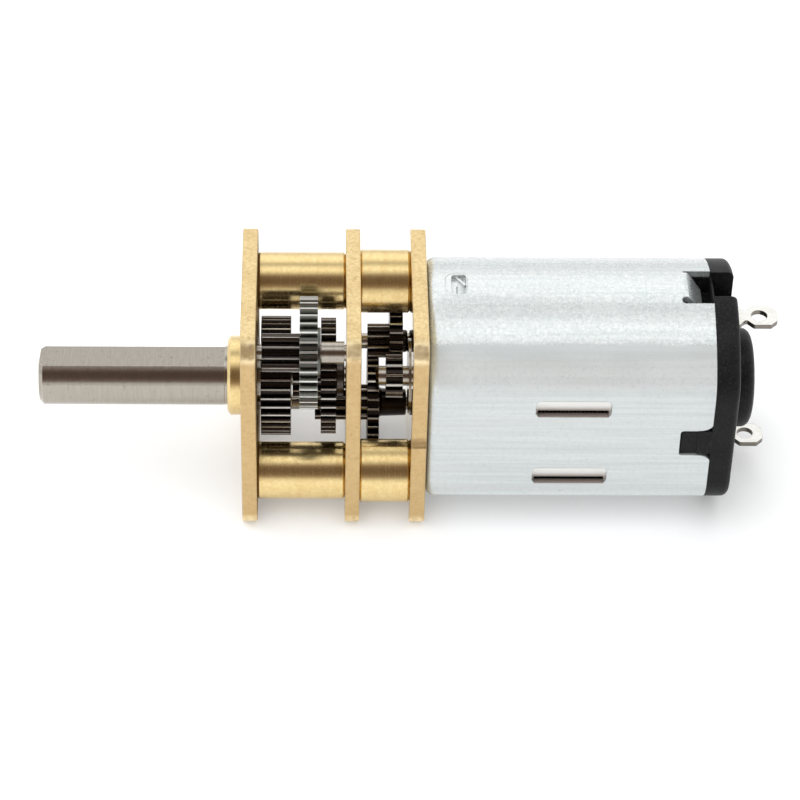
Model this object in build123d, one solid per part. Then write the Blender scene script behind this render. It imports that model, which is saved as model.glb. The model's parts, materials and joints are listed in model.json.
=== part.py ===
from build123d import *
import math
import os

# Miniature geared DC motor with an open-frame spur reduction.
# Frame: origin on the mounting face of the front plate, on the output shaft's
# axis. +X points out along the output shaft, +Y across the narrow (10 mm)
# side, +Z across the wide (12 mm) side. Millimetres throughout.

# ---- frame plates -----------------------------------------------------------
PLATE_Y = 10.0            # plate width
PLATE_Z = 12.0            # plate height
PLATE_CHAMFER = 0.65      # corner cuts
PLATE_CORNER_R = 0.70     # rounding where a corner cut meets a side
PLATE_EDGE_R = 0.06       # rolled-over edges of the stampings
FRONT_PLATE = (-0.75, 0.0)
MID_PLATE = (-5.87, -5.14)
REAR_PLATE = (-9.15, -8.38)
MOUNT_HOLE_R = 0.80       # M1.6 mounting holes
MOUNT_HOLE_Z = 4.5        # 9 mm apart
STEP_DEPTH = 0.12         # shallow shear step on the rear plate's side edge
STEP_Z = (-0.40, 0.30)

# ---- spacer posts and tie screws -------------------------------------------
POST_YZ = ((-3.16, 3.57), (3.16, -3.57))
POST_NAMES = ("upper", "lower")
LONG_POST_R = 1.45
SHORT_POST_R = 1.60
POST_CHAMFER = 0.10
TIE_R = 0.70              # tie screw shank
TIE_HOLE_R = 0.80
TIE_HEAD_R = 1.30         # countersunk head, flush with the mounting face
TIE_HEAD_H = 0.55
TIE_SLOT = (0.30, 0.25)   # driver slot width and depth
TIE_END = -9.00

# ---- output shaft and its bushing -------------------------------------------
BUSH_R = 2.0
BUSH_FRONT = 0.75
BUSH_CHAMFER = 0.15
SHAFT_R = 1.5
SHAFT_BORE_R = 1.55
SHAFT_TIP = 10.17
SHAFT_TIP_CHAMFER = 0.20
SHAFT_SHOULDER = -2.45
RELIEF_X = (0.0, 0.60)    # oil groove inside the bushing
RELIEF_R = 1.33
COLLAR_R = 1.48           # full-round stretch ahead of the flat
D_FLAT_H = 1.05           # flat's distance from the axis
D_FLAT_START = 0.89
D_FLAT_ANGLE = 104.0      # direction of the flat's normal from +Y towards +Z
STUB_R = 0.50             # rear journal of the output shaft
STUB_END = -5.81
STUB_BORE_R = 0.55

# ---- gear train ---------------------------------------------------------------
MODULE = 0.15
PRESSURE_ANGLE = 20.0
BACKLASH = 0.030          # tooth thinning on each gear at the pitch circle
ARBOR_R = 0.40
ARBOR_BORE_R = 0.44
FOURTH_YZ = (1.886, 3.120)
SECOND_YZ = (-1.633, -3.209)
FIRST_YZ = (-2.848, -0.117)
AXIS_YZ = (0.0, 0.0)

# teeth, tip radius, profile shift, front and rear of the toothed part
MOTOR_PINION = (13, 1.100, 0.10, -7.19, -8.04)
FIRST_WHEEL = (26, 2.010, -0.60, -7.40, -8.07)
FIRST_PINION = (9, 0.885, 0.50, -6.29, -7.40)
SECOND_WHEEL = (35, 2.700, -0.50, -6.29, -6.88)
SECOND_PINION = (11, 0.925, 0.00, -3.62, -6.29)
THIRD_WHEEL = (37, 2.925, 0.00, -3.92, -4.68)
THIRD_PINION = (13, 1.140, 0.33, -2.50, -3.92)
FOURTH_WHEEL = (35, 2.775, 0.00, -2.87, -3.76)
FOURTH_PINION = (10, 0.950, 0.34, -1.00, -2.87)
OUTPUT_GEAR = (39, 3.000, -0.50, -0.93, -2.42)

# angle of one tooth's centre at rest, from +Y towards +Z, in degrees
OUTPUT_PHASE = 8.42
FOURTH_WHEEL_PHASE = 10.05
THIRD_WHEEL_PHASE = 7.60
SECOND_WHEEL_PHASE = 2.35
FIRST_WHEEL_PHASE = 10.35

# ---- motor ---------------------------------------------------------------------
CAN_FRONT = -9.15
CAN_REAR = -23.2
CAN_R = 6.0               # round sides
CAN_FLAT = 5.0            # half the distance across the flats
CAN_WALL = 0.35
CAN_EDGE_R = 0.50
CAN_BLEND_R = 1.9         # blend between the round sides and the flats
LANCE_X = (-18.15, -14.43)
LANCE_Z = 2.2
LANCE_H = 1.04            # whole height of a louvre, slit included
LANCE_SLIT = 0.19
LANCE_DEPTH = 0.30        # how far the tongue is pushed in at the slit
DIMPLE_X = -10.67
FLAT_NOTCH = (1.6, 1.56)  # width, depth of the rear notches on the flats
ROUND_NOTCH = (2.5, 1.35) # the same on the round sides
CRIMP_Y = (-1.10, 0.88)   # the tongue bent into the round sides' notches
CRIMP_T = 0.28
CAN_HOLE_R = 1.20         # front bearing's seat
ROTOR_SHAFT_R = 0.50
ROTOR_SHAFT_FRONT = -6.67
ROTOR_SHAFT_REAR = -25.0
JOURNAL_BORE_R = 0.54
FRONT_BEARING_R = 1.9
MAGNET_R = (4.35, 5.60)
MAGNET_X = (-19.6, -10.6)
CORE_R = 4.05
CORE_X = (-18.6, -11.6)

# ---- end cap and terminals ------------------------------------------------------
CAP_REAR = -24.40
CAP_BOSS_R = 2.5
CAP_BOSS_REAR = -25.60
REAR_BEARING_R = 1.15
CAP_POCKET = 1.65         # depth of the flange's recess at each crimp
CAP_POCKET_Y = (-1.13, 0.79)
CAP_EDGE_R = 0.32
TERM_Z = 3.93
TERM_T = 0.26
TERM_HEAD = 1.44
TERM_NECK = 0.76
TERM_TIP = -26.6
TERM_SHOULDER = -25.03
TERM_FRONT = -22.6
TERM_HOLE_R = 0.405
TERM_HOLE_X = -25.70
TERM_CORNER = 0.35


# ================================================================================
# helpers
# ================================================================================
def rod(xa, xb, r, yz=AXIS_YZ):
    """Cylinder along X between xa and xb."""
    lo, hi = min(xa, xb), max(xa, xb)
    return Pos((lo + hi) / 2, yz[0], yz[1]) * (Rot(0, 90, 0) * Cylinder(r, hi - lo))


def revolved(points, yz=AXIS_YZ):
    """Solid of revolution about an X-parallel axis from (x, r) points."""
    face = Plane.XZ * make_face(Polyline([(x, r) for x, r in points], close=True))
    return Pos(0, yz[0], yz[1]) * revolve(face, Axis.X)


def turned(xa, xb, r, yz=AXIS_YZ, c=0.1):
    """Rod with both rims chamfered."""
    lo, hi = min(xa, xb), max(xa, xb)
    return revolved([(lo, 0), (lo, r - c), (lo + c, r), (hi - c, r), (hi, r - c), (hi, 0)], yz)


def block(xr, yr, zr):
    xa, xb = sorted(xr)
    ya, yb = sorted(yr)
    za, zb = sorted(zr)
    return Pos((xa + xb) / 2, (ya + yb) / 2, (za + zb) / 2) * Box(xb - xa, yb - ya, zb - za)


def prism(points, xa, xb):
    """Polygon in (Y, Z) extruded along X."""
    lo, hi = min(xa, xb), max(xa, xb)
    face = Plane((lo, 0, 0), x_dir=(0, 1, 0), z_dir=(1, 0, 0)) * make_face(
        Polyline(points, close=True)
    )
    return extrude(face, hi - lo, dir=(1, 0, 0))


def plate(xa, xb):
    """Stamped plate with cut, slightly rounded corners and rolled edges."""
    y, z, c = PLATE_Y / 2, PLATE_Z / 2, PLATE_CHAMFER
    body = prism(
        [(y - c, -z), (y, -z + c), (y, z - c), (y - c, z),
         (-y + c, z), (-y, z - c), (-y, -z + c), (-y + c, -z)], xa, xb)
    body = fillet(body.edges().filter_by(Axis.X), PLATE_CORNER_R)
    rims = body.edges().filter_by(lambda e: min(abs(e.center().X - xa), abs(e.center().X - xb)) < 1e-4)
    return fillet(rims, PLATE_EDGE_R)


def tooth_outline(teeth, tip_r, shift):
    """Half of one tooth as (radius, half angle) pairs from the root outwards."""
    pr = MODULE * teeth / 2
    base = pr * math.cos(math.radians(PRESSURE_ANGLE))
    root = MODULE * (teeth / 2 + shift - 1.25)
    thick = MODULE * (math.pi / 2 + 2 * shift * math.tan(math.radians(PRESSURE_ANGLE))) - BACKLASH

    def inv(a):
        return math.tan(a) - a

    inv_p = inv(math.radians(PRESSURE_ANGLE))

    def half(r):
        r = max(r, base)
        return thick / (2 * pr) + inv_p - inv(math.acos(base / r))

    start = max(base, root)
    out = []
    if root < base - 0.01:
        out.append((root, half(base) * 0.86))
    rim = 0.018
    steps = 4
    for i in range(steps + 1):
        r = start + (tip_r - rim - start) * i / steps
        out.append((r, half(r)))
    out.append((tip_r, max(half(tip_r) - 0.4 * rim / tip_r, 0.12 * MODULE / tip_r)))
    return root, out


def gear(spec, phase, yz, bore):
    """Spur gear with straight teeth between spec's two X positions."""
    teeth, tip_r, shift, xa, xb = spec
    root, side = tooth_outline(teeth, tip_r, shift)
    pts = []
    for k in range(teeth):
        mid = math.radians(phase) + 2 * math.pi * k / teeth
        for r, h in side:
            pts.append((yz[0] + r * math.cos(mid - h), yz[1] + r * math.sin(mid - h)))
        for r, h in reversed(side):
            pts.append((yz[0] + r * math.cos(mid + h), yz[1] + r * math.sin(mid + h)))
    body = prism(pts, xa, xb)
    if bore:
        body -= rod(xa - 1, xb + 1, bore, yz) if xa < xb else rod(xb - 1, xa + 1, bore, yz)
    return body


def meshing_phase(teeth, phase, yz, other_teeth, other_yz):
    """Phase of the other gear that puts its spaces on this gear's teeth."""
    line = math.degrees(math.atan2(other_yz[1] - yz[1], other_yz[0] - yz[0]))
    pitch = 360.0 / teeth
    off = (phase - line + pitch / 2) % pitch - pitch / 2
    return line + 180.0 - off * teeth / other_teeth + 180.0 / other_teeth


def section_faces(r, flat, xa, xb):
    """Solid with round top and bottom of radius r, cut flat at |Y| = flat."""
    return rod(xa, xb, r) & block((xa, xb), (-flat, flat), (-r - 1, r + 1))


def blended(r, flat, xa, xb, blend):
    """The same section with the edges between its round and flat sides rounded over."""
    body = section_faces(r, flat, xa, xb)
    return fillet(body.edges().filter_by(Axis.X), blend)


def one(shape):
    """The single solid of a shape."""
    solids = shape.solids()
    assert len(solids) == 1, len(solids)
    return solids[0]


parts = {}

# ================================================================================
# plates
# ================================================================================
front = plate(*FRONT_PLATE)
front -= rod(-2, 1, BUSH_R)
for s in (1, -1):
    front -= rod(-2, 1, MOUNT_HOLE_R, (0, s * MOUNT_HOLE_Z))
for yz in POST_YZ:
    front -= revolved([(-2, 0), (-2, TIE_HOLE_R), (-TIE_HEAD_H, TIE_HOLE_R),
                       (0, TIE_HEAD_R), (0.5, TIE_HEAD_R), (0.5, 0)], yz)
for yz in (FOURTH_YZ, SECOND_YZ):
    front -= rod(-0.45, -2, ARBOR_R, yz)
parts["front_plate"] = one(front)

mid = plate(*MID_PLATE)
mid -= rod(-7, -4, STUB_BORE_R)
mid -= rod(-7, -4, ARBOR_R, FOURTH_YZ)
mid -= rod(-7, -4, ARBOR_R, FIRST_YZ)
mid -= rod(-7, -4, 1.05, SECOND_YZ)
for yz in POST_YZ:
    mid -= rod(-7, -4, TIE_HOLE_R, yz)
parts["mid_plate"] = one(mid)

rear = plate(*REAR_PLATE)
rear -= rod(-10, -8, CAN_HOLE_R)
rear -= rod(-10, -8, ARBOR_R, FIRST_YZ)
rear -= rod(-10, -8, ARBOR_R, SECOND_YZ)
for yz in POST_YZ:
    rear -= rod(-10, -8, TIE_R, yz)
half_y = PLATE_Y / 2
rear -= prism([(half_y + 0.5, STEP_Z[1]), (half_y, STEP_Z[1]), (half_y - 0.02, STEP_Z[1] - 0.10),
               (half_y - 0.07, STEP_Z[1] - 0.28), (half_y - 0.11, STEP_Z[1] - 0.45), (half_y - STEP_DEPTH, STEP_Z[0] + 0.12),
               (half_y - 0.10, STEP_Z[0] + 0.04), (half_y - 0.03, STEP_Z[0] - 0.01), (half_y, STEP_Z[0] - 0.02),
               (half_y + 0.5, STEP_Z[0] - 0.02)], -10, -8)
parts["rear_plate"] = one(rear)

# ================================================================================
# posts and tie screws
# ================================================================================
for name, yz in zip(POST_NAMES, POST_YZ):
    long_post = turned(MID_PLATE[1], FRONT_PLATE[0], LONG_POST_R, yz, POST_CHAMFER)
    long_post -= rod(-7, 0, TIE_HOLE_R, yz)
    parts["long_spacer_" + name] = one(long_post)
    short_post = turned(REAR_PLATE[1], MID_PLATE[0], SHORT_POST_R, yz, POST_CHAMFER)
    short_post -= rod(-9, -5, TIE_HOLE_R, yz)
    parts["short_spacer_" + name] = one(short_post)
    screw = revolved([(TIE_END, 0), (TIE_END, TIE_R - 0.15), (TIE_END + 0.15, TIE_R),
                      (-TIE_HEAD_H, TIE_R), (-0.04, TIE_HEAD_R - 0.04), (-0.02, TIE_HEAD_R - 0.05), (-0.02, 0)], yz)
    screw -= Pos(-0.02 - TIE_SLOT[1] / 2 + 0.5, yz[0], yz[1]) * (
        Rot(35, 0, 0) * Box(TIE_SLOT[1] + 1.0, 4.0, TIE_SLOT[0]))
    parts["tie_screw_" + name] = one(screw)

# ================================================================================
# output bushing, shaft and gear
# ================================================================================
bush = revolved([(FRONT_PLATE[0], SHAFT_BORE_R), (FRONT_PLATE[0], BUSH_R),
                 (BUSH_FRONT - BUSH_CHAMFER, BUSH_R), (BUSH_FRONT, BUSH_R - BUSH_CHAMFER), (BUSH_FRONT, SHAFT_BORE_R)])
parts["output_bushing"] = one(bush)

shaft = revolved([(STUB_END, 0), (STUB_END, STUB_R - 0.08), (STUB_END + 0.08, STUB_R), (SHAFT_SHOULDER, STUB_R),
                  (SHAFT_SHOULDER, SHAFT_R), (RELIEF_X[0], SHAFT_R), (RELIEF_X[0], RELIEF_R), (RELIEF_X[1], RELIEF_R),
                  (RELIEF_X[1], COLLAR_R), (D_FLAT_START, COLLAR_R), (D_FLAT_START, SHAFT_R),
                  (SHAFT_TIP - SHAFT_TIP_CHAMFER, SHAFT_R),
                  (SHAFT_TIP, SHAFT_R - SHAFT_TIP_CHAMFER), (SHAFT_TIP, 0)])
cutter = Pos((D_FLAT_START + 12) / 2, 0, 0) * (
    Rot(D_FLAT_ANGLE, 0, 0) * (Pos(0, D_FLAT_H + 1, 0) * Box(12 - D_FLAT_START, 2, 6)))
shaft -= cutter
parts["output_shaft"] = one(shaft)
parts["output_gear"] = one(gear(OUTPUT_GEAR, OUTPUT_PHASE, AXIS_YZ, SHAFT_R))

# ================================================================================
# fourth cluster: its pinion drives the output gear
# ================================================================================
fourth_pinion_phase = meshing_phase(OUTPUT_GEAR[0], OUTPUT_PHASE, AXIS_YZ, FOURTH_PINION[0], FOURTH_YZ)
pinion = gear(FOURTH_PINION, fourth_pinion_phase, FOURTH_YZ, 0)
pinion += rod(-2.80, -3.90, 0.60, FOURTH_YZ)
pinion -= rod(0, -5, ARBOR_BORE_R, FOURTH_YZ)
parts["fourth_pinion"] = one(pinion)
wheel = gear(FOURTH_WHEEL, FOURTH_WHEEL_PHASE, FOURTH_YZ, 0.60)
wheel += revolved([(-3.70, 0.60), (-3.70, 1.25), (-3.88, 1.25), (-3.90, 1.23), (-3.90, 0.60)], FOURTH_YZ)
parts["fourth_wheel"] = one(wheel)
sleeve = rod(-3.93, MID_PLATE[1] + 0.07, 0.57, FOURTH_YZ) - rod(-3, -6, ARBOR_R, FOURTH_YZ)
parts["fourth_sleeve"] = one(sleeve)
parts["fourth_arbor"] = one(rod(-0.45, MID_PLATE[0], ARBOR_R, FOURTH_YZ))

# ================================================================================
# third cluster: runs on the output shaft's rear journal
# ================================================================================
third_pinion_phase = meshing_phase(FOURTH_WHEEL[0], FOURTH_WHEEL_PHASE, FOURTH_YZ, THIRD_PINION[0], AXIS_YZ)
pinion = gear(THIRD_PINION, third_pinion_phase, AXIS_YZ, 0)
pinion += rod(-3.90, -4.68, 0.80)
pinion += turned(-4.68, MID_PLATE[1] + 0.05, 1.02, AXIS_YZ, 0.05)
pinion -= rod(0, -6, STUB_BORE_R)
parts["third_pinion"] = one(pinion)
wheel = gear(THIRD_WHEEL, THIRD_WHEEL_PHASE, AXIS_YZ, 0.80)
parts["third_wheel"] = one(wheel)

# ================================================================================
# second cluster: the long pinion passes through the middle plate
# ================================================================================
second_pinion_phase = meshing_phase(THIRD_WHEEL[0], THIRD_WHEEL_PHASE, AXIS_YZ, SECOND_PINION[0], SECOND_YZ)
pinion = gear(SECOND_PINION, second_pinion_phase, SECOND_YZ, 0)
pinion += rod(-6.20, -7.20, 0.62, SECOND_YZ)
pinion -= rod(0, -10, ARBOR_BORE_R, SECOND_YZ)
parts["second_pinion"] = one(pinion)
wheel = gear(SECOND_WHEEL, SECOND_WHEEL_PHASE, SECOND_YZ, 0.62)
wheel += revolved([(-6.80, 0.62), (-6.80, 0.84), (-7.05, 0.72), (-8.24, 0.68), (-8.30, 0.60), (-8.30, ARBOR_BORE_R), (-7.20, ARBOR_BORE_R),
                   (-7.20, 0.62)], SECOND_YZ)
parts["second_wheel"] = one(wheel)
parts["second_arbor"] = one(rod(-0.45, REAR_PLATE[0], ARBOR_R, SECOND_YZ))

# ================================================================================
# first cluster: its wheel is driven by the motor pinion
# ================================================================================
first_pinion_phase = meshing_phase(SECOND_WHEEL[0], SECOND_WHEEL_PHASE, SECOND_YZ, FIRST_PINION[0], FIRST_YZ)
pinion = gear(FIRST_PINION, first_pinion_phase, FIRST_YZ, 0)
pinion += revolved([(-7.30, 0), (-7.30, 0.575), (-8.25, 0.575), (-8.33, 0.50), (-8.33, 0)], FIRST_YZ)
pinion -= rod(0, -10, ARBOR_BORE_R, FIRST_YZ)
parts["first_pinion"] = one(pinion)
parts["first_wheel"] = one(gear(FIRST_WHEEL, FIRST_WHEEL_PHASE, FIRST_YZ, 0.575))
parts["first_arbor"] = one(rod(MID_PLATE[1], REAR_PLATE[0], ARBOR_R, FIRST_YZ))

# ================================================================================
# rotor
# ================================================================================
motor_pinion_phase = meshing_phase(FIRST_WHEEL[0], FIRST_WHEEL_PHASE, FIRST_YZ, MOTOR_PINION[0], AXIS_YZ)
parts["motor_pinion"] = one(gear(MOTOR_PINION, motor_pinion_phase, AXIS_YZ, ROTOR_SHAFT_R))
r = ROTOR_SHAFT_R
parts["motor_shaft"] = one(revolved([
    (ROTOR_SHAFT_REAR, 0), (ROTOR_SHAFT_REAR, r), (ROTOR_SHAFT_FRONT - 0.16, r), (ROTOR_SHAFT_FRONT - 0.06, r - 0.07),
    (ROTOR_SHAFT_FRONT, r - 0.22), (ROTOR_SHAFT_FRONT, 0)]))
# three-pole laminated core
core = rod(*CORE_X, 1.7)
for k in range(3):
    a = 90 + 120 * k
    pole = block(CORE_X, (1.0, CORE_R - 0.5), (-0.55, 0.55))
    shoe = (rod(*CORE_X, CORE_R) - rod(CORE_X[0] - 1, CORE_X[1] + 1, CORE_R - 0.65)) & (
        prism([(0, 0), (6, -5.6), (6, 5.6)], *CORE_X))
    core += Rot(a, 0, 0) * (pole + shoe)
core -= rod(-8, -21, ROTOR_SHAFT_R)
parts["rotor_core"] = one(core)
# coils: one loop around each pole
for k in range(3):
    a = 90 + 120 * k
    coil = block((CORE_X[0] - 0.55, CORE_X[1] + 0.55), (1.75, 3.15), (-1.15, 1.15))
    coil -= block(CORE_X, (1.0, 4.0), (-0.55, 0.55))
    coil = Rot(a, 0, 0) * coil
    parts["rotor_coil_%d" % (k + 1)] = one(coil)
commutator = rod(-19.6, -22.2, 1.25)
for k in range(3):
    commutator -= Rot(30 + 120 * k, 0, 0) * block((-22.3, -20.2), (0.95, 2.0), (-0.08, 0.08))
commutator -= rod(-19, -23, ROTOR_SHAFT_R)
parts["commutator"] = one(commutator)

# ================================================================================
# stator
# ================================================================================
# formed can: rounded front edge, open rear
outer = blended(CAN_R, CAN_FLAT, CAN_FRONT, CAN_REAR, CAN_BLEND_R)
front_edges = outer.edges().filter_by(lambda e: abs(e.center().X - CAN_FRONT) < 1e-4)
outer = fillet(front_edges, CAN_EDGE_R)
inner = section_faces(CAN_R - CAN_WALL, CAN_FLAT - CAN_WALL, CAN_FRONT - CAN_WALL, CAN_REAR - 1)
can = outer - inner
can -= rod(-8, -11, CAN_HOLE_R)
# louvres on both flats: a tongue pushed inwards along its lower edge
for sy in (1, -1):
    for sz in (1, -1):
        top = sz * LANCE_Z + LANCE_H / 2
        low = top - LANCE_H
        heel = low + LANCE_SLIT
        y0 = sy * CAN_FLAT
        wedge = prism([(y0 + sy, top), (y0 - sy * 0.03, top), (y0 - sy * 0.09, top - 0.10), (y0 - sy * LANCE_DEPTH * 0.86, heel + 0.12),
                       (y0 - sy * LANCE_DEPTH, heel), (y0 - sy * LANCE_DEPTH, low), (y0 + sy, low)], *LANCE_X)
        ends = Pos((LANCE_X[0] + LANCE_X[1]) / 2, y0, (top + low) / 2) * (
            Rot(90, 0, 0) * extrude(RectangleRounded(LANCE_X[1] - LANCE_X[0], LANCE_H, 0.30), 1.5, both=True))
        can -= wedge & ends
        slit = block((LANCE_X[0] + 0.12, LANCE_X[1] - 0.12), (y0 - sy * 1.0, y0 + sy * 1.0), (low, heel))
        can -= slit
# rear notches on the flats: rounded inner corners, flared mouth
w, d = FLAT_NOTCH
profile = [(-1.0, w / 2 + 0.34), (0.0, w / 2 + 0.34), (0.10, w / 2 + 0.20), (0.24, w / 2 + 0.10), (0.42, w / 2 + 0.04),
           (0.66, w / 2 + 0.01), (0.80, w / 2), (d - 0.16, w / 2), (d - 0.08, w / 2 - 0.02), (d - 0.02, w / 2 - 0.08),
           (d, w / 2 - 0.16)]
for sy in (1, -1):
    pts = [(CAN_REAR + u, v) for u, v in profile] + [(CAN_REAR + u, -v) for u, v in reversed(profile)]
    face = Plane((0, sy * 4.0, 0), x_dir=(1, 0, 0), z_dir=(0, -1, 0)) * make_face(Polyline(pts, close=True))
    can -= extrude(face, 2.0, dir=(0, sy, 0))
# notches on the round sides, each with a tongue crimped into the end cap
w, d = ROUND_NOTCH
for sz in (1, -1):
    can -= block((CAN_REAR - 1, CAN_REAR + d), (-w / 2, w / 2), (sz * 4.5, sz * 7))
    bend = [(0.30, 6.10), (0.02, 5.99), (-0.14, 5.93), (-0.28, 5.80), (-0.42, 5.62), (-0.95, 4.80)]
    back = [(-0.95 + CRIMP_T * 0.84, 4.80 - CRIMP_T * 0.55), (-0.16, 5.45), (-0.02, 5.58), (0.30, 5.66)]
    pts = [(CAN_REAR + d + u, sz * v) for u, v in bend + back]
    face = Plane((0, CRIMP_Y[0], 0), x_dir=(1, 0, 0), z_dir=(0, -1, 0)) * make_face(Polyline(pts, close=True))
    tongue = extrude(face, CRIMP_Y[1] - CRIMP_Y[0], dir=(0, 1, 0))
    can += tongue & rod(CAN_REAR + d + 0.25, CAN_REAR, CAN_R)
    can -= Pos(CAN_REAR + d, CRIMP_Y[1] + 0.16, sz * 5.8) * Cylinder(0.22, 1.2)
# punched press mark on the top: a shallow oblong with a deeper heel and a raised wedge left inside
mark = Pos(DIMPLE_X + 0.10, -0.05, CAN_R - 0.08) * extrude(RectangleRounded(1.10, 1.70, 0.50), 1.0)
mark += Pos(DIMPLE_X - 0.02, -0.05, CAN_R - 0.30) * extrude(RectangleRounded(0.72, 1.46, 0.16), 1.0)
mark -= Pos(DIMPLE_X - 0.16, 0.32, CAN_R - 0.36) * (Rot(0, -24, 0) * Box(0.55, 0.80, 0.28))
mark -= Pos(DIMPLE_X - 0.10, -0.52, CAN_R - 0.34) * (Rot(0, 0, 35) * Box(0.14, 0.90, 0.30))
can -= mark
parts["motor_can"] = one(can)

for name, sz in (("upper", 1), ("lower", -1)):
    ring = rod(*MAGNET_X, MAGNET_R[1]) - rod(MAGNET_X[0] - 1, MAGNET_X[1] + 1, MAGNET_R[0])
    arc = ring & prism([(0, 0), (6.2, sz * 5.4), (6.2, sz * 8), (-6.2, sz * 8), (-6.2, sz * 5.4)], *MAGNET_X)
    arc &= block(MAGNET_X, (-4.60, 4.60), (sz * 0.5, sz * 7))
    parts["magnet_" + name] = one(arc)

# front bearing: thin flange in front of the rear plate, barrel in plate and can
bearing = revolved([(-8.31, JOURNAL_BORE_R), (-8.31, FRONT_BEARING_R), (-8.38, FRONT_BEARING_R), (-8.38, CAN_HOLE_R),
                    (-10.2, CAN_HOLE_R), (-10.2, JOURNAL_BORE_R)])
parts["front_bearing"] = one(bearing)
parts["rear_bearing"] = one(rod(-23.9, -24.9, REAR_BEARING_R) - rod(-23, -26, JOURNAL_BORE_R))

# ================================================================================
# end cap
# ================================================================================
flange = blended(CAN_R, CAN_FLAT, CAN_REAR, CAP_REAR, CAN_BLEND_R)
rear_edges = flange.edges().filter_by(lambda e: abs(e.center().X - CAP_REAR) < 1e-4)
flange = fillet(rear_edges, CAP_EDGE_R)
w, d = ROUND_NOTCH
for sz in (1, -1):
    flange -= block((CAN_REAR + 0.1, CAP_REAR - 0.1), CAP_POCKET_Y, (sz * (CAN_R - CAP_POCKET), sz * 7))
cap = flange
cap += section_faces(CAN_R - CAN_WALL - 0.02, CAN_FLAT - CAN_WALL - 0.02, CAN_REAR + 1.45, CAN_REAR - 0.1)
hollow = section_faces(CAN_R - 1.35, CAN_FLAT - 1.25, CAN_REAR + 1.5, CAN_REAR)
for sz in (1, -1):
    hollow -= block((CAN_REAR + 2, CAN_REAR - 1), (-1.6, 1.6), (sz * 4.22, sz * 7))
cap -= hollow
# room for the crimped tongues
for sz in (1, -1):
    cap -= block((CAN_REAR + 2, CAN_REAR - 0.02), (-w / 2 + 0.03, w / 2 - 0.03), (sz * 4.50, sz * 7))
# keys in the flat notches
w, d = FLAT_NOTCH
for sy in (1, -1):
    cap += block((CAN_REAR + d - 0.07, CAN_REAR - 0.1), (sy * 4.0, sy * (CAN_FLAT - 0.12)), (-w / 2 + 0.07, w / 2 - 0.07))
    cap += block((CAN_REAR + 0.66, CAN_REAR - 0.1), (sy * 4.0, sy * (CAN_FLAT - 0.04)), (-w / 2 + 0.07, w / 2 - 0.07))
# the boss closes over the rear bearing
boss = revolved([(CAP_REAR + 0.2, 0), (CAP_REAR + 0.2, CAP_BOSS_R), (CAP_BOSS_REAR + 0.50, CAP_BOSS_R),
                 (CAP_BOSS_REAR + 0.36, CAP_BOSS_R - 0.02), (CAP_BOSS_REAR + 0.24, CAP_BOSS_R - 0.08),
                 (CAP_BOSS_REAR + 0.14, CAP_BOSS_R - 0.17), (CAP_BOSS_REAR + 0.07, CAP_BOSS_R - 0.30),
                 (CAP_BOSS_REAR + 0.02, CAP_BOSS_R - 0.46), (CAP_BOSS_REAR, CAP_BOSS_R - 0.66), (CAP_BOSS_REAR, 0)])
cap += boss
cap -= rod(-22, -24.9, REAR_BEARING_R)
cap -= rod(-24.8, -25.1, 0.60)
for sz in (1, -1):
    cap -= block((CAN_REAR + 3, CAP_REAR - 1), (-TERM_HEAD / 2 - 0.03, TERM_HEAD / 2 + 0.03),
                 (sz * TERM_Z - TERM_T / 2 - 0.01, sz * TERM_Z + TERM_T / 2 + 0.01))
parts["end_cap"] = one(cap)

# terminals: a flat tab with a drilled head, and a brush blade inside
for name, sz in (("upper", 1), ("lower", -1)):
    h, n, c = TERM_HEAD / 2, TERM_NECK / 2, TERM_CORNER
    side = [(TERM_FRONT, h), (TERM_SHOULDER + 0.34, h), (TERM_SHOULDER + 0.16, n + 0.10), (TERM_SHOULDER + 0.04, n),
            (TERM_SHOULDER - 0.06, n), (TERM_SHOULDER - 0.34, h - 0.02), (TERM_SHOULDER - 0.42, h),
            (TERM_TIP + c, h), (TERM_TIP + 0.04, h - c + 0.04), (TERM_TIP, h - c - 0.06)]
    pts = side + [(x, -y) for x, y in reversed(side)]
    face = Plane((0, 0, sz * TERM_Z - TERM_T / 2), x_dir=(1, 0, 0), z_dir=(0, 0, 1)) * make_face(Polyline(pts, close=True))
    tab = extrude(face, TERM_T, dir=(0, 0, 1))
    tab -= Pos(TERM_HOLE_X, 0, sz * TERM_Z) * Cylinder(TERM_HOLE_R, 2)
    parts["terminal_" + name] = one(tab)
    blade = block((-21.5, -21.1), (-0.35, 0.35), (sz * 1.30, sz * 3.9))
    blade += block((-21.5, TERM_FRONT), (-0.35, 0.35), (sz * (TERM_Z - 0.15), sz * (TERM_Z + 0.15)))
    parts["brush_" + name] = one(blade)

# ================================================================================
# export
# ================================================================================
os.makedirs("parts", exist_ok=True)
for name, solid in parts.items():
    solid.label = name
    export_step(solid, "parts/" + name + ".step")
    bb = solid.bounding_box()
    print("%-20s vol %9.4f  X %.2f..%.2f  Y %.2f..%.2f  Z %.2f..%.2f" % (
        name, solid.volume, bb.min.X, bb.max.X, bb.min.Y, bb.max.Y, bb.min.Z, bb.max.Z))
print(len(parts), "parts")
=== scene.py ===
import json
import math

import bpy
from mathutils import Matrix, Vector


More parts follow.
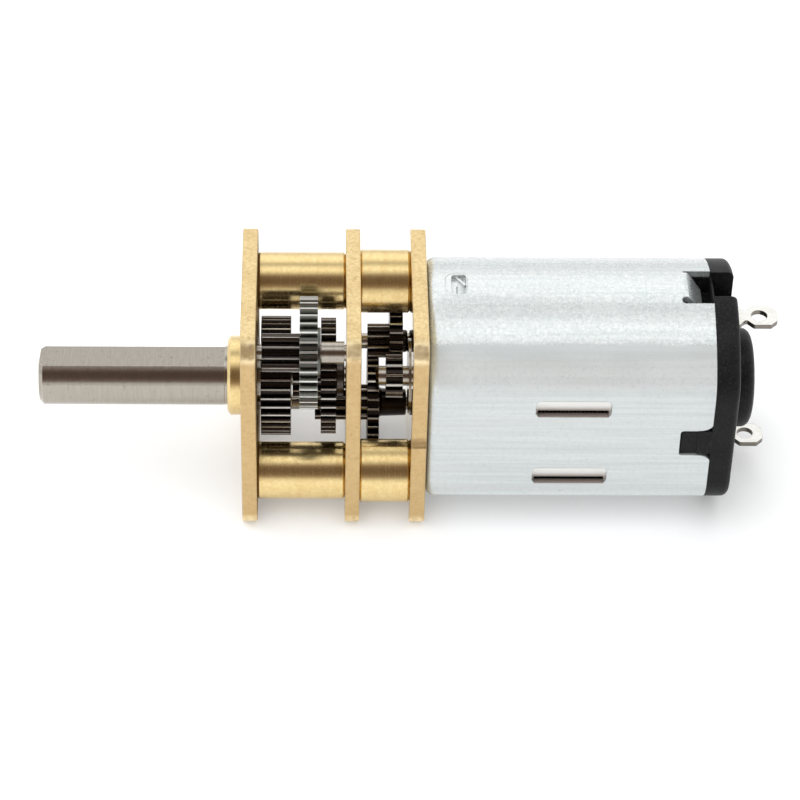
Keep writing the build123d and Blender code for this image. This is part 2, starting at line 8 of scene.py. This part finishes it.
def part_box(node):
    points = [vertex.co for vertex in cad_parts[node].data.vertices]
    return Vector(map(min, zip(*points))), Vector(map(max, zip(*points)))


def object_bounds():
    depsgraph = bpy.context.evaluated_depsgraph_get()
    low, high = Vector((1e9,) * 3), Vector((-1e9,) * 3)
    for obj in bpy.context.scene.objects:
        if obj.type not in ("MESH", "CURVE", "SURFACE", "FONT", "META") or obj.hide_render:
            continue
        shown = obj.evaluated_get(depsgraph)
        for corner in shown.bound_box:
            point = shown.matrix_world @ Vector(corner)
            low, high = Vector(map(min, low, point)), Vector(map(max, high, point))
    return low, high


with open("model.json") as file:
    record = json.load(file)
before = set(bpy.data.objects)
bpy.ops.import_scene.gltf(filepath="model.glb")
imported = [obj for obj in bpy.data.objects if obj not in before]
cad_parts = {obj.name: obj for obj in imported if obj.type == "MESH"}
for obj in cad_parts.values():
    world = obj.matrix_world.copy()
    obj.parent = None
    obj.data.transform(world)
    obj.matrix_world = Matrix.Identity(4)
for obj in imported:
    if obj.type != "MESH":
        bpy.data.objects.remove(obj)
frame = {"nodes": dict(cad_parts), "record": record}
CAD_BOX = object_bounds()
NODES = frame["nodes"]


# ------------------------------------------------------------------ node helpers
class Tree:
    """A small builder for one material's nodes. Coordinates are in millimetres of the object's own frame."""

    def __init__(self, name):
        self.mat = bpy.data.materials.new(name)
        self.mat.use_nodes = True
        self.nt = self.mat.node_tree
        self.nt.nodes.clear()
        self.out = self.nt.nodes.new("ShaderNodeOutputMaterial")
        self.bsdf = self.nt.nodes.new("ShaderNodeBsdfPrincipled")
        self.nt.links.new(self.bsdf.outputs[0], self.out.inputs[0])
        tc = self.nt.nodes.new("ShaderNodeTexCoord")
        v = self.nt.nodes.new("ShaderNodeVectorMath")
        v.operation = "SCALE"
        v.inputs["Scale"].default_value = 1000.0
        self.nt.links.new(tc.outputs["Object"], v.inputs[0])
        self.mm = v.outputs[0]

    def node(self, kind, **props):
        n = self.nt.nodes.new(kind)
        for k, v in props.items():
            setattr(n, k, v)
        return n

    def link(self, a, b):
        self.nt.links.new(a, b)

    def put(self, socket, value):
        if isinstance(value, bpy.types.NodeSocket):
            self.link(value, socket)
        else:
            socket.default_value = value

    def scaled(self, sx, sy, sz, source=None):
        n = self.node("ShaderNodeVectorMath", operation="MULTIPLY")
        self.link(source or self.mm, n.inputs[0])
        n.inputs[1].default_value = (sx, sy, sz)
        return n.outputs[0]

    def noise(self, scale, detail=3.0, rough=0.55, vec=None, distortion=0.0):
        n = self.node("ShaderNodeTexNoise")
        self.link(vec or self.mm, n.inputs["Vector"])
        n.inputs["Scale"].default_value = scale
        n.inputs["Detail"].default_value = detail
        n.inputs["Roughness"].default_value = rough
        n.inputs["Distortion"].default_value = distortion
        return n.outputs["Fac"]

    def voronoi(self, scale, vec=None, feature="F1"):
        n = self.node("ShaderNodeTexVoronoi", feature=feature)
        self.link(vec or self.mm, n.inputs["Vector"])
        n.inputs["Scale"].default_value = scale
        return n

    def remap(self, value, a, b, c, d, smooth=False):
        n = self.node("ShaderNodeMapRange")
        if smooth:
            n.interpolation_type = "SMOOTHSTEP"
        self.put(n.inputs[0], value)
        for i, x in enumerate((a, b, c, d)):
            n.inputs[i + 1].default_value = x
        return n.outputs[0]

    def math(self, op, a, b=0.0, clamp=False):
        n = self.node("ShaderNodeMath", operation=op)
        n.use_clamp = clamp
        self.put(n.inputs[0], a)
        self.put(n.inputs[1], b)
        return n.outputs[0]

    def mix(self, fac, a, b):
        n = self.node("ShaderNodeMix", data_type="RGBA")
        self.put(n.inputs[0], fac)
        for socket, value in ((n.inputs[6], a), (n.inputs[7], b)):
            if isinstance(value, bpy.types.NodeSocket):
                self.link(value, socket)
            else:
                socket.default_value = (*value, 1.0)
        return n.outputs[2]

    def split(self, source=None):
        n = self.node("ShaderNodeSeparateXYZ")
        self.link(source or self.mm, n.inputs[0])
        return n.outputs[0], n.outputs[1], n.outputs[2]

    def bump(self, height, strength, distance_mm, normal=None):
        n = self.node("ShaderNodeBump")
        n.inputs["Strength"].default_value = strength
        n.inputs["Distance"].default_value = distance_mm / 1000.0
        self.link(height, n.inputs["Height"])
        if normal is not None:
            self.link(normal, n.inputs["Normal"])
        return n.outputs[0]

    def edge(self, radius_mm, low=0.02, high=0.25):
        """0 on flat faces and 1 along edges, from how much a rounded normal differs from the true one."""
        bev = self.node("ShaderNodeBevel")
        bev.samples = 4
        bev.inputs["Radius"].default_value = radius_mm / 1000.0
        geo = self.node("ShaderNodeNewGeometry")
        dot = self.node("ShaderNodeVectorMath", operation="DOT_PRODUCT")
        self.link(bev.outputs[0], dot.inputs[0])
        self.link(geo.outputs["Normal"], dot.inputs[1])
        return self.remap(self.math("SUBTRACT", 1.0, dot.outputs["Value"]), low, high, 0.0, 1.0)

    def rounded(self, radius_mm):
        """Normal with its edges rounded over, to start a bump chain from."""
        bev = self.node("ShaderNodeBevel")
        bev.samples = 4
        bev.inputs["Radius"].default_value = radius_mm / 1000.0
        return bev.outputs[0]

    def faces_x(self):
        """1 on faces square to the object's X axis, 0 elsewhere."""
        geo = self.node("ShaderNodeNewGeometry")
        tr = self.node("ShaderNodeVectorTransform", vector_type="NORMAL", convert_from="WORLD", convert_to="OBJECT")
        self.link(geo.outputs["True Normal"], tr.inputs[0])
        nx = self.split(tr.outputs[0])[0]
        return self.remap(self.math("ABSOLUTE", nx), 0.90, 0.97, 0.0, 1.0)

    def finish(self, color=None, metallic=1.0, rough=None, normal=None, **extra):
        b = self.bsdf.inputs
        if color is not None:
            if isinstance(color, bpy.types.NodeSocket):
                self.link(color, b["Base Color"])
            else:
                b["Base Color"].default_value = (*color, 1.0)
        b["Metallic"].default_value = metallic
        if rough is not None:
            self.put(b["Roughness"], rough)
        if normal is not None:
            self.link(normal, b["Normal"])
        for k, v in extra.items():
            b[k.replace("_", " ")].default_value = v
        return self.mat


# ------------------------------------------------------------------ materials
def brass_plate():
    """Sheared brass sheet: sandy edges with drag lines, pits and uneven corners; the inner faces are dull and darkened
    as painted shade, the sides square to Y and the shear step carry painted shade, and the edges and corner bands
    carry painted highlight.
    """
    t = Tree("brass_stamped")
    x, y, z = t.split()
    face = t.faces_x()
    side = t.math("SUBTRACT", 1.0, face)
    inner = t.math("MULTIPLY", t.remap(x, -0.40, -0.35, 1.0, 0.0), t.remap(x, -1.00, -0.90, 0.0, 1.0))
    inner = t.math("MULTIPLY", face, inner)
    sand = t.noise(5.5, 5.0, 0.70)
    pits = t.noise(3.4, 3.0, 0.6)
    drag = t.noise(1.0, 3.0, 0.6, t.scaled(8.0, 1.2, 1.2))
    blotch = t.noise(0.8, 2.0, 0.5)
    dents = t.noise(1.5, 2.0, 0.5)
    corner = t.math("MULTIPLY", t.remap(t.math("ABSOLUTE", y), 4.20, 4.45, 0.0, 1.0),
                    t.remap(t.math("ABSOLUTE", z), 4.90, 5.25, 0.0, 1.0))
    color = t.mix(t.remap(blotch, 0.36, 0.64, 0.0, 1.0), (0.760, 0.605, 0.328), (0.705, 0.541, 0.283))
    # painted shade: the plate's sides square to Y are darker brown than its tops
    color = t.mix(t.remap(t.math("ABSOLUTE", y), 4.90, 4.97, 0.0, 0.75), color, (0.560, 0.390, 0.190))
    color = t.mix(t.remap(sand, 0.42, 0.64, 0.0, 0.50), color, (0.520, 0.350, 0.155))
    color = t.mix(t.remap(pits, 0.58, 0.70, 0.0, 0.45), color, (0.420, 0.280, 0.120))
    # painted highlight: the edges are lightened
    color = t.mix(t.math("MULTIPLY", t.edge(0.06), 0.45), color, (0.800, 0.640, 0.380))
    # painted shade: the inner faces between the plates are darkened
    color = t.mix(t.math("MULTIPLY", inner, 0.85), color, (0.240, 0.150, 0.065))
    # painted shade in the shear step on the rear plate's side
    step_painted_shade = t.math("MULTIPLY", t.remap(x, -8.36, -8.32, 1.0, 0.0), t.remap(y, 4.70, 4.80, 0.0, 1.0))
    step_painted_shade = t.math("MULTIPLY", step_painted_shade, t.math("MULTIPLY", t.remap(z, -0.42, -0.30, 0.0, 1.0), t.remap(z, -0.15, 0.34, 1.0, 0.0)))
    color = t.mix(t.math("MULTIPLY", step_painted_shade, 0.75), color, (0.300, 0.180, 0.075))
    rough = t.math("ADD", t.remap(sand, 0.35, 0.68, 0.32, 0.46), t.remap(drag, 0.4, 0.7, 0.0, 0.05))
    rough = t.math("ADD", rough, t.math("MULTIPLY", corner, 0.06))
    # painted highlight: the corner bands are lightened, broken up by the dent noise
    color = t.mix(t.math("MULTIPLY", corner, t.remap(dents, 0.38, 0.62, 0.15, 0.95)), color, (0.960, 0.800, 0.500))
    rough = t.math("ADD", t.math("MULTIPLY", rough, side), t.math("MULTIPLY", face, 0.07))
    rough = t.math("ADD", rough, t.math("MULTIPLY", inner, 0.30))
    n = t.rounded(0.09)
    h = t.math("MULTIPLY", sand, side)
    n = t.bump(h, 0.55, 0.030, n)
    n = t.bump(t.math("MULTIPLY", pits, side), 0.30, 0.040, n)
    n = t.bump(t.math("MULTIPLY", drag, side), 0.15, 0.012, n)
    n = t.bump(t.math("MULTIPLY", dents, corner), 0.55, 0.16, n)
    t.put(t.bsdf.inputs["Specular IOR Level"], t.remap(inner, 0.0, 1.0, 0.5, 0.0))
    mat = t.finish(color, 1.0, rough, n)
    t.put(t.bsdf.inputs["Metallic"], t.remap(inner, 0.0, 1.0, 1.0, 0.15))
    return mat


def brass_turned():
    """Lathe-turned brass: faint rings round the axis, a soft satin grain, and rims lightened as painted highlight."""
    t = Tree("brass_turned")
    lines = t.noise(1.0, 3.0, 0.6, t.scaled(16.0, 0.4, 0.4))
    grain = t.noise(6.0, 4.0, 0.62)
    smear = t.noise(1.0, 2.0, 0.5, t.scaled(2.2, 0.8, 0.8))
    color = t.mix(t.remap(grain, 0.36, 0.66, 0.0, 1.0), (0.806, 0.636, 0.322), (0.742, 0.556, 0.256))
    color = t.mix(t.remap(smear, 0.45, 0.70, 0.0, 0.30), color, (0.640, 0.430, 0.170))
    # painted highlight: the rims are lightened
    color = t.mix(t.math("MULTIPLY", t.edge(0.05), 0.35), color, (0.880, 0.720, 0.450))
    rough = t.math("ADD", t.remap(lines, 0.3, 0.7, 0.19, 0.25), t.remap(grain, 0.4, 0.7, 0.0, 0.05))
    n = t.rounded(0.05)
    n = t.bump(lines, 0.08, 0.004, n)
    n = t.bump(smear, 0.06, 0.020, n)
    return t.finish(color, 1.0, rough, n)


def shaft_steel():
    """Ground shaft: fine rings round the axis, light handling marks, a few dark specks, and edges lightened as painted
    highlight.
    """
    t = Tree("ground_steel")
    lines = t.noise(1.0, 4.0, 0.65, t.scaled(18.0, 1.0, 1.0))
    grain = t.noise(5.0, 4.0, 0.65)
    specks = t.noise(3.3, 3.0, 0.7)
    color = t.mix(t.remap(lines, 0.3, 0.7, 0.0, 1.0), (0.420, 0.388, 0.338), (0.350, 0.318, 0.272))
    color = t.mix(t.remap(specks, 0.60, 0.72, 0.0, 0.55), color, (0.230, 0.200, 0.165))
    # painted highlight: the edges are lightened
    color = t.mix(t.math("MULTIPLY", t.edge(0.04, 0.01, 0.10), 0.70), color, (0.700, 0.670, 0.610))
    rough = t.math("ADD", t.remap(lines, 0.3, 0.7, 0.10, 0.15), t.remap(grain, 0.4, 0.7, 0.0, 0.06))
    n = t.rounded(0.04)
    n = t.bump(lines, 0.10, 0.005, n)
    n = t.bump(grain, 0.22, 0.010, n)
    return t.finish(color, 1.0, rough, n)


def gear_steel(name, axis_y, axis_z, tip, depth, root_color, flank_color, land_color, rough0, rough1):
    """Cut steel: roots darkened to near-black as painted shade, brown-grey flanks, and the tips of the teeth and the
    edges lightened as painted highlight.
    """
    t = Tree(name)
    x, y, z = t.split()
    dy = t.math("SUBTRACT", y, axis_y)
    dz = t.math("SUBTRACT", z, axis_z)
    r = t.math("SQRT", t.math("ADD", t.math("MULTIPLY", dy, dy), t.math("MULTIPLY", dz, dz)))
    grain = t.noise(5.0, 3.0, 0.6)
    tip_highlight_noise = t.noise(1.0, 2.0, 0.5, t.scaled(0.8, 4.0, 4.0))
    # painted shade: the roots of the teeth are darkened
    flank = t.remap(r, tip - depth, tip - 0.02, 0.0, 1.0)
    color = t.mix(flank, root_color, flank_color)
    # painted highlight: the tips of the teeth and the edges are lightened, varied by a noise
    land = t.remap(r, tip - 0.024, tip - 0.008, 0.0, 1.0)
    land = t.math("MULTIPLY", land, t.remap(tip_highlight_noise, 0.32, 0.60, 0.75, 1.0))
    color = t.mix(land, color, land_color)
    color = t.mix(t.math("MULTIPLY", t.edge(0.03, 0.02, 0.20), 0.35), color, land_color)
    rough = t.remap(grain, 0.3, 0.7, rough0, rough1)
    n = t.bump(t.noise(1.0, 2.0, 0.5, t.scaled(0.5, 2.0, 2.0)), 0.06, 0.010, t.rounded(0.02))
    return t.finish(color, 1.0, rough, n)


def can_zinc():
    """Zinc-plated drawn steel: sparkling crowns, and shoulders and flats ironed smooth with drawing lines."""
    t = Tree("zinc_plated_steel")
    x, y, z = t.split()
    az = t.math("ABSOLUTE", z)
    wob = t.remap(t.noise(1.0, 2.0, 0.5, t.scaled(0.35, 0.35, 0.35)), 0.3, 0.7, -0.05, 0.05)
    crown = t.remap(t.math("ADD", az, wob), 4.90, 4.99, 0.0, 1.0, True)
    smooth = t.math("SUBTRACT", 1.0, crown)
    lines = t.noise(1.0, 4.0, 0.65, t.scaled(0.10, 4.0, 4.0))
    wide = t.noise(1.0, 2.0, 0.5, t.scaled(0.06, 0.9, 0.9))
    grain = t.noise(4.6, 5.0, 0.76)
    patch = t.noise(0.55, 2.0, 0.5)
    specks = t.noise(3.2, 2.0, 0.5)
    fleck = t.noise(6.5, 3.0, 0.6)
    color = t.mix(t.remap(lines, 0.36, 0.64, 0.0, 1.0), (0.640, 0.678, 0.674), (0.545, 0.582, 0.584))
    color = t.mix(t.remap(wide, 0.40, 0.62, 0.0, 0.5), color, (0.620, 0.630, 0.620))
    # painted sheen: a pale band round the rounded part above the flats
    pale_painted_sheen = t.math("MULTIPLY", t.remap(az, 3.20, 3.75, 0.0, 1.0), t.remap(az, 3.95, 4.70, 1.0, 0.0))
    color = t.mix(t.math("MULTIPLY", pale_painted_sheen, 0.80), color, (0.800, 0.850, 0.855))
    # painted shade: the smooth shoulders below the crowns are darkened
    shoulder_painted_shade = t.math("MULTIPLY", t.remap(az, 4.35, 4.90, 0.0, 1.0), smooth)
    color = t.mix(t.math("MULTIPLY", shoulder_painted_shade, 0.45), color, (0.430, 0.470, 0.480))
    color = t.mix(t.math("MULTIPLY", t.remap(fleck, 0.50, 0.64, 0.0, 0.55), crown), color, (0.450, 0.495, 0.490))
    color = t.mix(t.math("MULTIPLY", t.remap(fleck, 0.32, 0.46, 0.50, 0.0), crown), color, (0.790, 0.805, 0.785))
    color = t.mix(t.remap(grain, 0.50, 0.64, 0.0, 0.38), color, (0.500, 0.535, 0.540))
    color = t.mix(t.remap(specks, 0.70, 0.77, 0.0, 0.4), color, (0.36, 0.37, 0.37))
    # painted highlight: the edges are lightened
    color = t.mix(t.math("MULTIPLY", t.edge(0.06, 0.02, 0.3), 0.5), color, (0.84, 0.85, 0.83))
    # louvres: the tongue is lightened as painted highlight, a painted shadow runs along its rim, and its lower part
    # and the sill of the slit are darkened as painted shade
    depth = t.math("SUBTRACT", 4.985, t.math("ABSOLUTE", y))
    lx = t.math("MULTIPLY", t.remap(x, -18.20, -18.12, 0.0, 1.0), t.remap(x, -14.45, -14.37, 1.0, 0.0))
    lz = t.math("MULTIPLY", t.remap(az, 1.60, 1.66, 0.0, 1.0), t.remap(az, 2.73, 2.79, 1.0, 0.0))
    louvre_painted_highlight = t.math("MULTIPLY", t.math("MULTIPLY", lx, lz), t.remap(depth, 0.0, 0.03, 0.0, 1.0))
    color = t.mix(louvre_painted_highlight, color, (0.86, 0.86, 0.83))
    # painted shadow: a dark line along the rim of the louvre
    rim_painted_shadow = t.math("MULTIPLY", t.remap(depth, 0.0, 0.015, 0.0, 1.0), t.remap(depth, 0.045, 0.080, 1.0, 0.0))
    rim_painted_shadow = t.math("MULTIPLY", t.math("MULTIPLY", lx, lz), rim_painted_shadow)
    color = t.mix(t.math("MULTIPLY", rim_painted_shadow, 0.60), color, (0.300, 0.275, 0.250))
    low = t.math("MULTIPLY", t.math("SUBTRACT", az, 2.2), t.math("SIGN", z))
    shade = t.math("MULTIPLY", t.math("MULTIPLY", lx, lz), t.remap(low, -0.33, 0.08, 1.0, 0.0))
    color = t.mix(t.math("MULTIPLY", shade, t.remap(depth, 0.14, 0.24, 0.0, 0.60)), color, (0.420, 0.370, 0.330))
    # painted shade: the sill of the slit is darkened to brown
    sill_painted_shade = t.math("MULTIPLY", t.math("MULTIPLY", lx, lz), t.remap(low, -0.48, -0.44, 1.0, 0.0))
    color = t.mix(t.math("MULTIPLY", sill_painted_shade, t.remap(depth, 0.0, 0.03, 0.0, 0.90)), color, (0.440, 0.360, 0.325))
    rough = t.math("ADD", t.remap(grain, 0.35, 0.65, 0.20, 0.32), t.remap(patch, 0.4, 0.65, 0.0, 0.05))
    rough = t.math("ADD", rough, t.math("MULTIPLY", smooth, 0.14))
    n = t.rounded(0.07)
    n = t.bump(t.math("MULTIPLY", grain, crown), 0.50, 0.014, n)
    n = t.bump(lines, 0.25, 0.012, n)
    n = t.bump(patch, 0.20, 0.060, n)
    return t.finish(color, 0.70, rough, n)


def black_plastic():
    """Moulded nylon: matt black with a fine sandy skin and paler scuffs on the edges."""
    t = Tree("black_moulded_plastic")
    fine = t.noise(11.0, 5.0, 0.68)
    flow = t.noise(0.8, 2.0, 0.5)
    scuff = t.noise(3.0, 3.0, 0.65)
    color = t.mix(t.remap(flow, 0.4, 0.65, 0.0, 1.0), (0.0030, 0.0030, 0.0032), (0.0060, 0.0060, 0.0062))
    color = t.mix(t.remap(fine, 0.55, 0.70, 0.0, 0.75), color, (0.042, 0.042, 0.041))
    worn = t.math("MULTIPLY", t.edge(0.07, 0.03, 0.3), t.remap(scuff, 0.42, 0.62, 0.15, 0.9))
    color = t.mix(worn, color, (0.060, 0.060, 0.060))
    rough = t.remap(fine, 0.3, 0.7, 0.40, 0.54)
    n = t.rounded(0.08)
    n = t.bump(fine, 0.30, 0.016, n)
    n = t.bump(flow, 0.10, 0.040, n)
    return t.finish(color, 0.0, rough, n, IOR=1.26)


def tin_plate():
    """Bright tinned brass tab: nearly clean faces with faint warm smears; the sheared sides and the edges are darkened
    to brown as painted shade.
    """
    t = Tree("tin_plated_tab")
    x, y, z = t.split()
    grain = t.noise(7.0, 3.0, 0.55)
    smear = t.noise(1.0, 2.0, 0.5, t.scaled(1.2, 3.5, 3.5))
    geo = t.node("ShaderNodeNewGeometry")
    tr = t.node("ShaderNodeVectorTransform", vector_type="NORMAL", convert_from="WORLD", convert_to="OBJECT")
    t.link(geo.outputs["True Normal"], tr.inputs[0])
    nz = t.math("ABSOLUTE", t.split(tr.outputs[0])[2])
    side = t.remap(nz, 0.2, 0.8, 1.0, 0.0)
    color = t.mix(t.remap(smear, 0.42, 0.66, 0.0, 1.0), (0.665, 0.66, 0.625), (0.61, 0.60, 0.565))
    color = t.mix(t.remap(grain, 0.60, 0.74, 0.0, 0.20), color, (0.54, 0.525, 0.49))
    # painted shade: the sheared sides and the edges are darkened
    color = t.mix(t.math("MULTIPLY", side, 0.90), color, (0.150, 0.130, 0.105))
    color = t.mix(t.math("MULTIPLY", t.edge(0.05, 0.02, 0.25), 0.55), color, (0.40, 0.38, 0.34))
    rough = t.remap(grain, 0.3, 0.7, 0.18, 0.26)
    n = t.bump(smear, 0.10, 0.020, t.rounded(0.05))
    return t.finish(color, 0.9, rough, n)


def screw_steel():
    t = Tree("zinc_screw")
    lines = t.noise(1.0, 3.0, 0.6, t.scaled(24.0, 1.0, 1.0))
    color = t.mix(t.remap(lines, 0.3, 0.7, 0.0, 1.0), (0.55, 0.55, 0.56), (0.46, 0.46, 0.48))
    return t.finish(color, 1.0, t.remap(lines, 0.3, 0.7, 0.26, 0.38), t.bump(lines, 0.15, 0.008))


def sintered_bronze():
    t = Tree("sintered_bronze")
    pores = t.noise(16.0, 4.0, 0.7)
    color = t.mix(t.remap(pores, 0.45, 0.7, 0.0, 1.0), (0.50, 0.33, 0.17), (0.30, 0.19, 0.10))
    return t.finish(color, 1.0, t.remap(pores, 0.3, 0.7, 0.30, 0.5), t.bump(pores, 0.25, 0.012))


def ferrite():
    t = Tree("ferrite_magnet")
    g = t.noise(9.0, 4.0, 0.6)
    color = t.mix(t.remap(g, 0.35, 0.7, 0.0, 1.0), (0.030, 0.030, 0.032), (0.055, 0.055, 0.058))
    return t.finish(color, 0.0, t.remap(g, 0.3, 0.7, 0.55, 0.75), t.bump(g, 0.3, 0.02))


def lamination():
    t = Tree("laminated_core")
    w = t.node("ShaderNodeTexWave", wave_type="BANDS", bands_direction="X")
    t.link(t.mm, w.inputs["Vector"])
    w.inputs["Scale"].default_value = 1.6
    w.inputs["Distortion"].default_value = 0.3
    color = t.mix(w.outputs["Fac"], (0.20, 0.20, 0.21), (0.38, 0.38, 0.39))
    return t.finish(color, 1.0, 0.45, t.bump(w.outputs["Fac"], 0.4, 0.03))


def copper(name, lines_x):
    t = Tree(name)
    lines = t.noise(1.0, 2.0, 0.5, t.scaled(*((16.0, 1.0, 1.0) if lines_x else (1.0, 12.0, 12.0))))
    color = t.mix(t.remap(lines, 0.3, 0.7, 0.0, 1.0), (0.72, 0.33, 0.16), (0.46, 0.17, 0.07))
    return t.finish(color, 1.0, t.remap(lines, 0.3, 0.7, 0.22, 0.4), t.bump(lines, 0.5, 0.03))


MATS = {
    "brass_plate": brass_plate(),
    "brass_turned": brass_turned(),
    "bushing_bronze": sintered_bronze(),
    "screw_steel": screw_steel(),
    "shaft_steel": shaft_steel(),
    "can_zinc": can_zinc(),
    "ferrite": ferrite(),
    "lamination": lamination(),
    "copper_wire": copper("enamelled_copper", True),
    "black_plastic": black_plastic(),
    "tin_plate": tin_plate(),
    "brush_copper": copper("brush_copper", False),
}

# root colour (painted shade), flank colour and land colour (painted highlight), then the range of roughness
GEAR_LOOKS = {
    "gear_steel_dark": ((0.030, 0.024, 0.021), (0.110, 0.093, 0.082), (0.50, 0.48, 0.44), 0.20, 0.28),
    "gear_steel": ((0.160, 0.165, 0.152), (0.330, 0.340, 0.312), (0.74, 0.74, 0.70), 0.26, 0.34),
}

slots = {s["node"]: s["material_slot"] for s in frame["record"]["subparts"]}
for name, ob in NODES.items():
    me = ob.data
    me.materials.clear()
    slot = slots[name]
    if slot.startswith("gear_steel"):
        lo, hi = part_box(name)
        cy, cz = (lo[1] + hi[1]) * 500.0, (lo[2] + hi[2]) * 500.0
        tip = max(hi[1] - lo[1], hi[2] - lo[2]) * 500.0
        me.materials.append(gear_steel("steel_" + name, cy, cz, tip, 0.34, *GEAR_LOOKS[slot]))
    else:
        me.materials.append(MATS[slot])

# ------------------------------------------------------------------ floor
floor_z = CAD_BOX[0].z
me = bpy.data.meshes.new("floor")
S = 2.5
me.from_pydata([(-S, -S, floor_z), (S, -S, floor_z), (S, S, floor_z), (-S, S, floor_z)], [], [(0, 1, 2, 3)])
floor = bpy.data.objects.new("floor", me)
bpy.context.scene.collection.objects.link(floor)
ft = Tree("paper_floor")
weave = ft.noise(0.02, 2.0, 0.5)
paper = ft.mix(weave, (0.660, 0.663, 0.668), (0.676, 0.679, 0.684))
me.materials.append(ft.finish(paper, 0.0, 0.9, None, Specular_IOR_Level=0.0, Emission_Color=(1.0, 1.0, 1.0, 1.0),
                              Emission_Strength=0.27))

# ------------------------------------------------------------------ studio light
world = bpy.data.worlds.new("studio")
bpy.context.scene.world = world
world.use_nodes = True
wt = world.node_tree
wt.nodes.clear()
wout = wt.nodes.new("ShaderNodeOutputWorld")
bg = wt.nodes.new("ShaderNodeBackground")
wt.links.new(bg.outputs[0], wout.inputs[0])
tc = wt.nodes.new("ShaderNodeTexCoord")
sep = wt.nodes.new("ShaderNodeSeparateXYZ")
wt.links.new(tc.outputs["Generated"], sep.inputs[0])
at = wt.nodes.new("ShaderNodeMath")
at.operation = "ARCTAN2"
wt.links.new(sep.outputs[2], at.inputs[0])
wt.links.new(sep.outputs[1], at.inputs[1])
dv = wt.nodes.new("ShaderNodeMath")
dv.operation = "DIVIDE"
wt.links.new(at.outputs[0], dv.inputs[0])
dv.inputs[1].default_value = math.pi
ramp = wt.nodes.new("ShaderNodeValToRGB")
ramp.color_ramp.interpolation = "B_SPLINE"
WARM = (1.20, 0.84, 0.66)
STOPS = [(0, 0.80, 0), (7, 0.66, 0), (14, 0.17, 1), (30, 0.085, 1), (50, 0.085, 1), (62, 0.15, 1), (72, 0.70, 0), (82, 1.0, 0),
         (92, 1.0, 0), (104, 0.38, 0), (113, 0.38, 0), (125, 1.0, 0), (138, 1.10, 0), (150, 1.10, 0), (164, 0.66, 0), (180, 0.66, 0)]
els = ramp.color_ramp.elements
while len(els) > 1:
    els.remove(els[-1])
els[0].position = 0.0
els[0].color = (STOPS[0][1],) * 3 + (1.0,)
for a, v, warm in STOPS[1:]:
    el = els.new(a / 180.0)
    el.color = tuple(v * (w if warm else 1.0) for w in WARM) + (1.0,)
wt.links.new(dv.outputs[0], ramp.inputs[0])
sq = wt.nodes.new("ShaderNodeMath")
sq.operation = "MULTIPLY"
wt.links.new(sep.outputs[0], sq.inputs[0])
wt.links.new(sep.outputs[0], sq.inputs[1])
mx = wt.nodes.new("ShaderNodeMix")
mx.data_type = "RGBA"
wt.links.new(sq.outputs[0], mx.inputs[0])
wt.links.new(ramp.outputs[0], mx.inputs[6])
mx.inputs[7].default_value = (0.75, 0.75, 0.75, 1.0)
wt.links.new(mx.outputs[2], bg.inputs[0])
bg.inputs[1].default_value = 1.50
world.cycles_visibility.diffuse = False

AIM = Vector((-0.008, 0.0, 0.0))
for name, place, size, watts in (
    ("overhead", (0.045, 0.030, 0.30), (0.60, 0.50), 2.60),
    ("fill_back", (-0.008, -0.32, 0.22), (0.40, 0.24), 0.30),
    ("fill_front", (0.080, 0.34, 0.15), (0.40, 0.20), 0.40),
):
    ld = bpy.data.lights.new(name, "AREA")
    ld.shape = "RECTANGLE"
    ld.size, ld.size_y = size
    ld.energy = watts
    light = bpy.data.objects.new(name, ld)
    light.location = place
    light.rotation_mode = "QUATERNION"
    light.rotation_quaternion = (AIM - light.location).to_track_quat("-Z", "Y")
    light.visible_glossy = False
    bpy.context.scene.collection.objects.link(light)

# ------------------------------------------------------------------ camera
cd = bpy.data.cameras.new("camera")
cd.lens, cd.sensor_width = 142.56, 36.0
cd.clip_start, cd.clip_end = 0.01, 20.0
cam = bpy.data.objects.new("camera", cd)
right = Vector((-0.99964614, 0.01730190, 0.02020499))
up = Vector((0.00367814, -0.66236520, 0.74917208))
back = -Vector((-0.02634519, -0.74898130, -0.66206718))
m = Matrix((right, up, back)).transposed().to_4x4()
m.translation = (Vector((-3.6558679, 120.495595, 104.87825)) + right * 0.050) / 1000.0
cam.matrix_world = m
bpy.context.scene.collection.objects.link(cam)
bpy.context.scene.camera = cam

vs = bpy.context.scene.view_settings
vs.view_transform = "Standard"
vs.look = "None"
vs.exposure = 0.0
vs.gamma = 1.0
